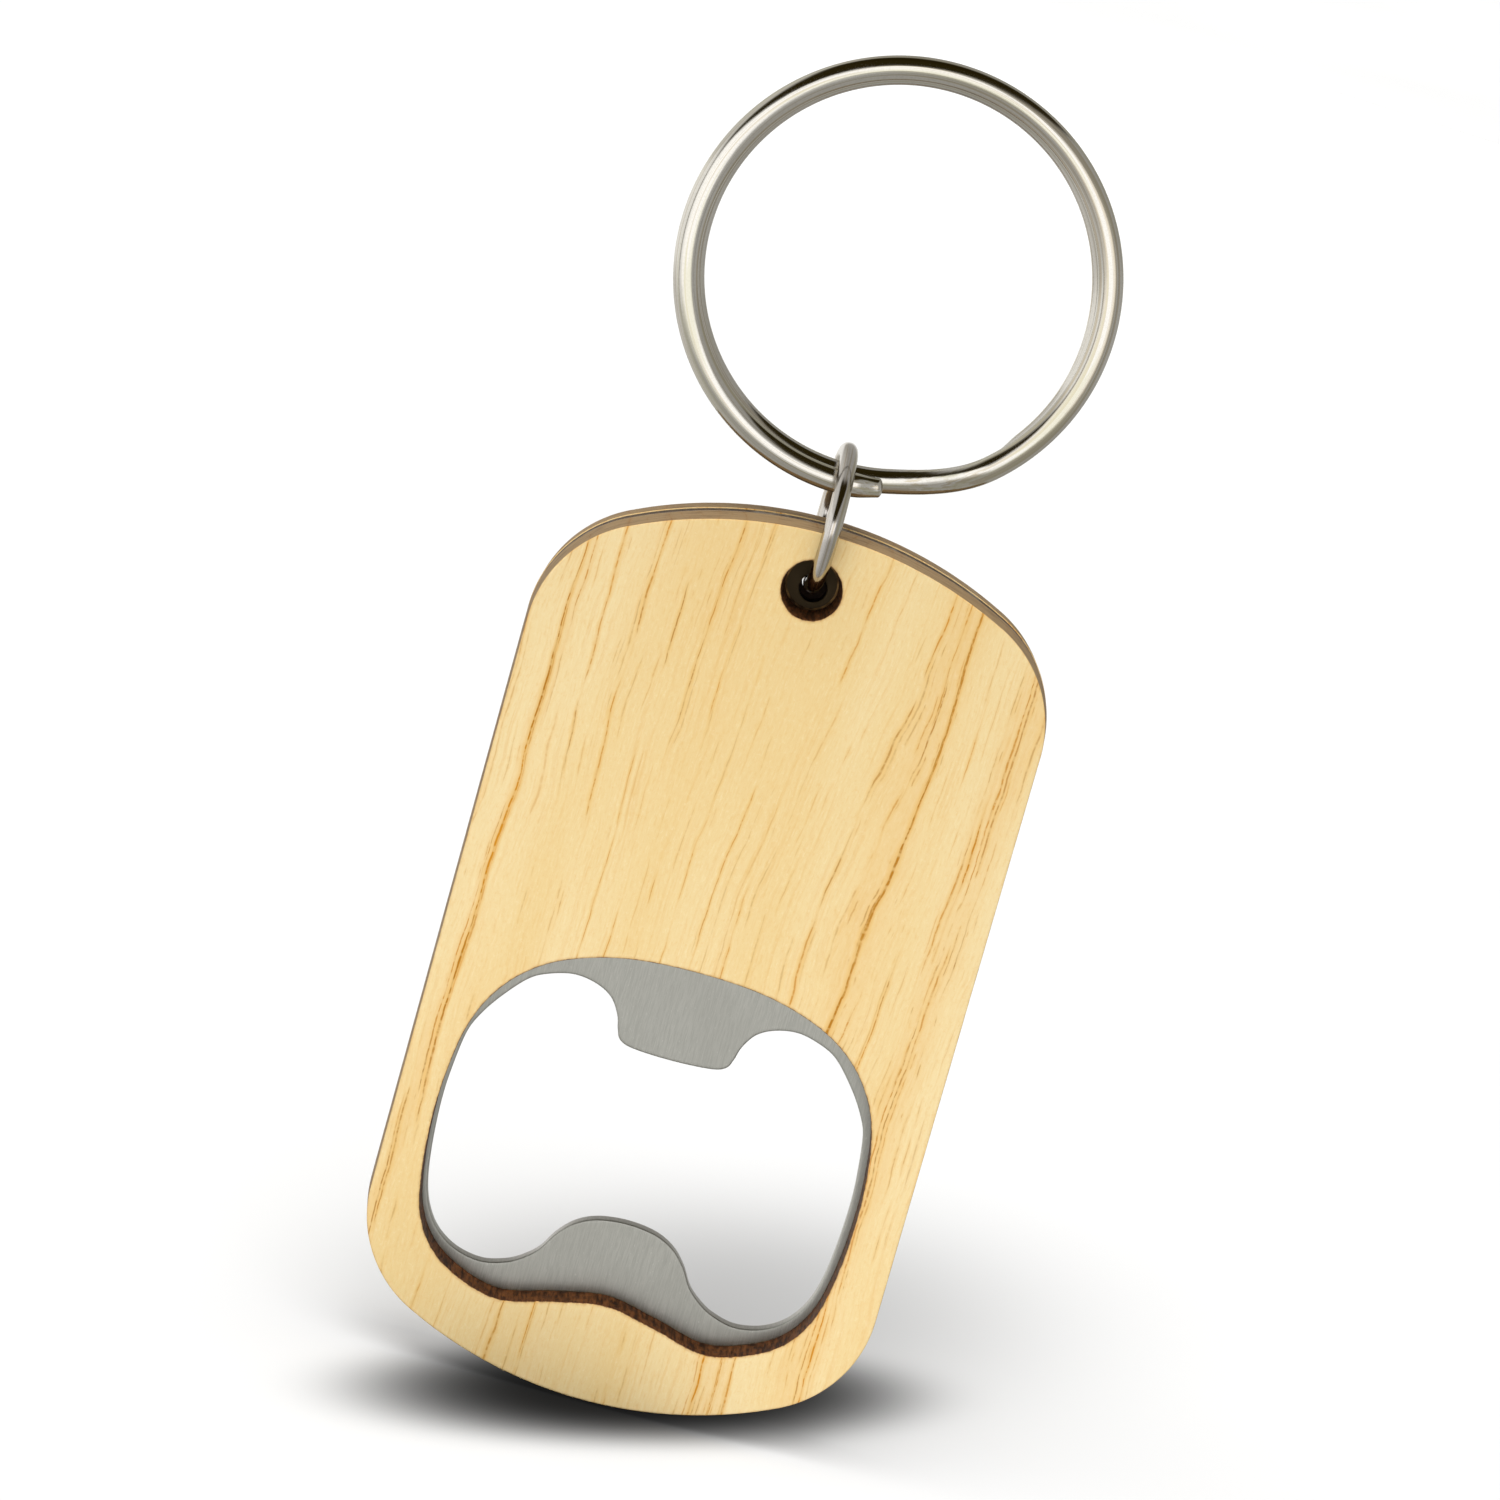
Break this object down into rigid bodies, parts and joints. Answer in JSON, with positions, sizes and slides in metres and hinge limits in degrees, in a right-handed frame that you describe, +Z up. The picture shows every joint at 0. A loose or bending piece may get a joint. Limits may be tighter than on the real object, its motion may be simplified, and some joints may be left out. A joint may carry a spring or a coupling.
{
  "type": "keychain bottle opener",
  "caption": "Tag-shaped bottle opener: wooden faces on a steel plate with a toothed mouth, hung by a jump ring from a split key ring.",
  "frame": {"origin": "hang point: the inner top of the key ring, where a hook or peg carries it", "axes": "+Z up along the hanging object, +X to the right seen from the front, front face towards -Y"},
  "size_m": [0.036, 0.0104, 0.0952],
  "materials": {
    "wood": "fine sanded pale wood with laser-browned edges",
    "steel": "satin, brushed lengthways",
    "adhesive": "thin double-sided film, edge only visible",
    "nickel": "bright nickel plate"
  },
  "bodies": {
    "key_ring": {"key_ring": "nickel"},
    "jump_ring": {"jump_ring": "nickel"},
    "opener": {"front_wood_plate": "wood", "front_adhesive_film": "adhesive", "steel_opener_plate": "steel", "rear_adhesive_film": "adhesive", "rear_wood_plate": "wood"}
  },
  "joints": [
    {"name": "jump_ring_flop", "type": "hinge", "parent": "key_ring", "child": "jump_ring", "pos_m": [0, 0, -0.02688], "axis": [1, 0, 0], "range_deg": [-90, 90]},
    {"name": "opener_swing", "type": "hinge", "parent": "jump_ring", "child": "opener", "pos_m": [0, 0, -0.03427], "axis": [0, 1, 0], "range_deg": [-25, 25]}
  ]
}
